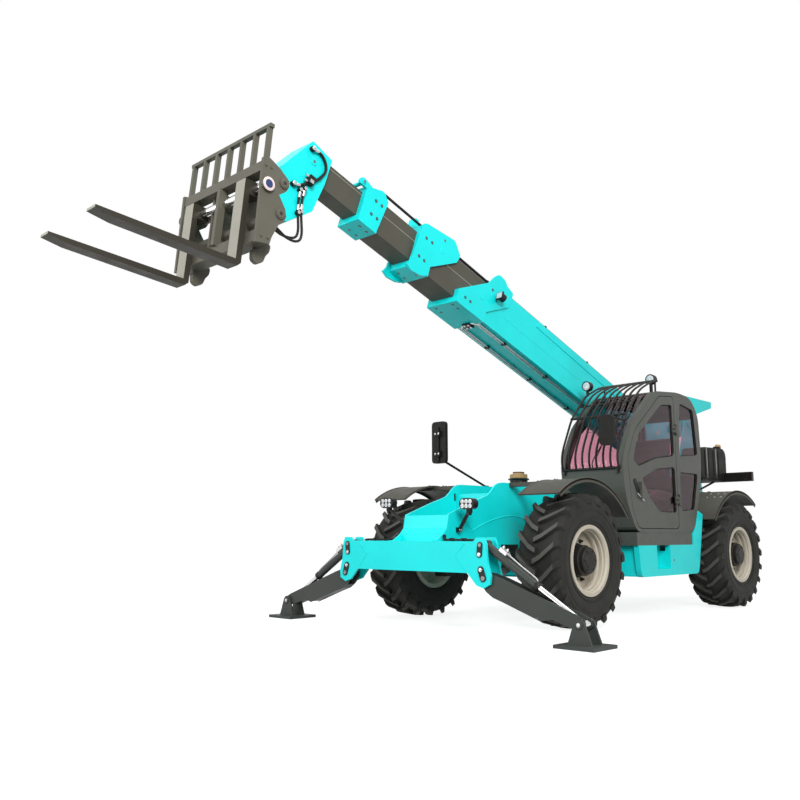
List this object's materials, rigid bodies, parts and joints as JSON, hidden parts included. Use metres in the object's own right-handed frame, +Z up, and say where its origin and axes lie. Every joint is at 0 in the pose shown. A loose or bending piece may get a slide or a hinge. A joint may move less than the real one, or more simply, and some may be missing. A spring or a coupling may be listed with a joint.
{
  "type": "telescopic handler",
  "caption": "Telescopic handler with a side cab, telescoping boom, fork carriage, steered wheels and hydraulic front stabiliser legs.",
  "frame": {"origin": "on the ground, at the middle of the length and width of the whole machine", "axes": "+X forward towards the fork tips, +Y to the left, the cab side, +Z up"},
  "size_m": [9.6642, 3.9556, 4.2255],
  "materials": {
    "black_plastic": "matt",
    "cab_paint": "satin paint",
    "dark_paint": "satin paint",
    "engine_iron": "as cast",
    "fork_steel": "satin paint",
    "glass": "tinted",
    "grey_paint": "satin paint",
    "hose_rubber": "matt",
    "lamp_body": "gloss",
    "rim_paint": "satin paint",
    "rod_chrome": "polished",
    "seat_cloth": "woven",
    "tan_plastic": "matt",
    "teal_paint": "gloss paint",
    "tyre": "matt"
  },
  "bodies": {
    "chassis": {"chassis_frame": "teal_paint", "front_beam": "teal_paint", "counterweight": "grey_paint", "front_axle": "dark_paint", "rear_axle": "dark_paint", "cab_shell": "cab_paint", "cab_glass": "glass", "cab_guard": "dark_paint", "cab_interior": "black_plastic", "seat": "seat_cloth", "side_box": "teal_paint", "engine": "engine_iron", "engine_bay": "teal_paint", "air_cleaner": "tan_plastic", "fenders_front": "black_plastic", "fenders_rear": "black_plastic", "oil_tank": "black_plastic", "lamp_bars": "dark_paint", "lamps": "lamp_body", "mirrors": "black_plastic"},
    "boom": {"boom_base": "teal_paint", "boom_lamp": "lamp_body", "extend_barrel": "grey_paint"},
    "section_2": {"boom_section_2": "grey_paint", "collar_2": "teal_paint", "extend_rod": "rod_chrome"},
    "section_3": {"boom_section_3": "grey_paint", "collar_3": "teal_paint"},
    "section_4": {"boom_section_4": "grey_paint", "boom_head": "teal_paint", "head_hoses": "hose_rubber"},
    "carriage": {"carriage_frame": "grey_paint", "load_guard": "grey_paint", "forks": "fork_steel"},
    "lift_barrel": {"lift_barrel": "dark_paint"},
    "lift_rod": {"lift_rod": "rod_chrome"},
    "door": {"door_frame": "cab_paint", "door_glass": "glass"},
    "hood": {"engine_hood": "teal_paint"},
    "steer_front_left": {"knuckle_front_left": "dark_paint"},
    "wheel_front_left": {"rim_front_left": "rim_paint", "tyre_front_left": "tyre"},
    "steer_front_right": {"knuckle_front_right": "dark_paint"},
    "wheel_front_right": {"rim_front_right": "rim_paint", "tyre_front_right": "tyre"},
    "steer_rear_left": {"knuckle_rear_left": "dark_paint"},
    "wheel_rear_left": {"rim_rear_left": "rim_paint", "tyre_rear_left": "tyre"},
    "steer_rear_right": {"knuckle_rear_right": "dark_paint"},
    "wheel_rear_right": {"rim_rear_right": "rim_paint", "tyre_rear_right": "tyre"},
    "leg_left": {"leg_left": "grey_paint"},
    "leg_barrel_left": {"leg_barrel_left": "grey_paint"},
    "leg_rod_left": {"leg_rod_left": "rod_chrome"},
    "pad_left": {"pad_left": "grey_paint"},
    "leg_right": {"leg_right": "grey_paint"},
    "leg_barrel_right": {"leg_barrel_right": "grey_paint"},
    "leg_rod_right": {"leg_rod_right": "rod_chrome"},
    "pad_right": {"pad_right": "grey_paint"}
  },
  "joints": [
    {"name": "boom_lift", "type": "hinge", "parent": "chassis", "child": "boom", "pos_m": [-3.87222, 0, 2.43], "axis": [0, -1, 0], "range_deg": [-21.5, 46.5]},
    {"name": "extend_section_2", "type": "slide", "parent": "boom", "child": "section_2", "axis": [0.9483, 0, 0.3173], "range_m": [-0.4, 2.5]},
    {"name": "extend_section_3", "type": "slide", "parent": "section_2", "child": "section_3", "axis": [0.9483, 0, 0.3173], "range_m": [-0.4, 2.5]},
    {"name": "extend_section_4", "type": "slide", "parent": "section_3", "child": "section_4", "axis": [0.9483, 0, 0.3173], "range_m": [-0.4, 2.5]},
    {"name": "carriage_tilt", "type": "hinge", "parent": "section_4", "child": "carriage", "pos_m": [3.27338, 0, 3.45004], "axis": [0, 1, 0], "range_deg": [-14, 98]},
    {"name": "lift_barrel_swing", "type": "hinge", "parent": "chassis", "child": "lift_barrel", "pos_m": [-3.54521, 0, 0.762], "axis": [0, -1, 0], "range_deg": [-2.9, 5.11]},
    {"name": "lift_rod_slide", "type": "slide", "parent": "lift_barrel", "child": "lift_rod", "axis": [0.2935, 0, 0.956], "range_m": [-0.2856, 0.6119]},
    {"name": "leg_swing_left", "type": "hinge", "parent": "chassis", "child": "leg_left", "pos_m": [1.35779, 0.87, 0.5], "axis": [1, 0, 0], "range_deg": [-8, 65]},
    {"name": "leg_barrel_swing_left", "type": "hinge", "parent": "chassis", "child": "leg_barrel_left", "pos_m": [1.35779, 0.84, 0.78], "axis": [1, 0, 0], "range_deg": [-8.52, 62.08]},
    {"name": "leg_rod_slide_left", "type": "slide", "parent": "leg_barrel_left", "child": "leg_rod_left", "axis": [0, 0.8471, -0.5315], "range_m": [-0.2934, 0.0387]},
    {"name": "pad_swivel_left", "type": "hinge", "parent": "leg_left", "child": "pad_left", "pos_m": [1.35779, 1.79628, 0.18], "axis": [1, 0, 0], "range_deg": [-35, 35]},
    {"name": "leg_swing_right", "type": "hinge", "parent": "chassis", "child": "leg_right", "pos_m": [1.35779, -0.87, 0.5], "axis": [-1, 0, 0], "range_deg": [-8, 65]},
    {"name": "leg_barrel_swing_right", "type": "hinge", "parent": "chassis", "child": "leg_barrel_right", "pos_m": [1.35779, -0.84, 0.78], "axis": [-1, 0, 0], "range_deg": [-8.52, 62.08]},
    {"name": "leg_rod_slide_right", "type": "slide", "parent": "leg_barrel_right", "child": "leg_rod_right", "axis": [0, -0.8471, -0.5315], "range_m": [-0.2934, 0.0387]},
    {"name": "pad_swivel_right", "type": "hinge", "parent": "leg_right", "child": "pad_right", "pos_m": [1.35779, -1.79628, 0.18], "axis": [-1, 0, 0], "range_deg": [-35, 35]},
    {"name": "steer_front_left", "type": "hinge", "parent": "chassis", "child": "steer_front_left", "pos_m": [0.22778, 0.67, 0.63], "axis": [0, 0, 1], "range_deg": [-35, 35]},
    {"name": "roll_front_left", "type": "hinge", "parent": "steer_front_left", "child": "wheel_front_left", "pos_m": [0.22778, 0.97, 0.63], "axis": [0, 1, 0], "continuous": true},
    {"name": "steer_front_right", "type": "hinge", "parent": "chassis", "child": "steer_front_right", "pos_m": [0.22778, -0.67, 0.63], "axis": [0, 0, 1], "range_deg": [-35, 35]},
    {"name": "roll_front_right", "type": "hinge", "parent": "steer_front_right", "child": "wheel_front_right", "pos_m": [0.22778, -0.97, 0.63], "axis": [0, 1, 0], "continuous": true},
    {"name": "steer_rear_left", "type": "hinge", "parent": "chassis", "child": "steer_rear_left", "pos_m": [-3.17222, 0.67, 0.63], "axis": [0, 0, 1], "range_deg": [-35, 35]},
    {"name": "roll_rear_left", "type": "hinge", "parent": "steer_rear_left", "child": "wheel_rear_left", "pos_m": [-3.17222, 0.97, 0.63], "axis": [0, 1, 0], "continuous": true},
    {"name": "steer_rear_right", "type": "hinge", "parent": "chassis", "child": "steer_rear_right", "pos_m": [-3.17222, -0.67, 0.63], "axis": [0, 0, 1], "range_deg": [-35, 35]},
    {"name": "roll_rear_right", "type": "hinge", "parent": "steer_rear_right", "child": "wheel_rear_right", "pos_m": [-3.17222, -0.97, 0.63], "axis": [0, 1, 0], "continuous": true},
    {"name": "door_swing", "type": "hinge", "parent": "chassis", "child": "door", "pos_m": [-1.85722, 1.065, 1.65], "axis": [0, 0, 1], "range_deg": [0, 80]},
    {"name": "hood_lift", "type": "hinge", "parent": "chassis", "child": "hood", "pos_m": [-1.92222, -0.326, 1.42], "axis": [-1, 0, 0], "range_deg": [0, 60]}
  ],
  "couplings": [
    {"joint": "extend_section_3", "follows": "extend_section_2", "ratio": 1},
    {"joint": "extend_section_4", "follows": "extend_section_2", "ratio": 1},
    {"joint": "lift_barrel_swing", "follows": "boom_lift", "ratio": 0.08838},
    {"joint": "lift_rod_slide", "follows": "boom_lift", "m_per_rad": 0.7478},
    {"joint": "leg_barrel_swing_left", "follows": "leg_swing_left", "ratio": 0.93971},
    {"joint": "leg_rod_slide_left", "follows": "leg_swing_left", "m_per_rad": -0.25598},
    {"joint": "leg_barrel_swing_right", "follows": "leg_swing_right", "ratio": 0.93971},
    {"joint": "leg_rod_slide_right", "follows": "leg_swing_right", "m_per_rad": -0.25598},
    {"joint": "steer_front_right", "follows": "steer_front_left", "ratio": 1},
    {"joint": "steer_rear_right", "follows": "steer_rear_left", "ratio": 1}
  ]
}
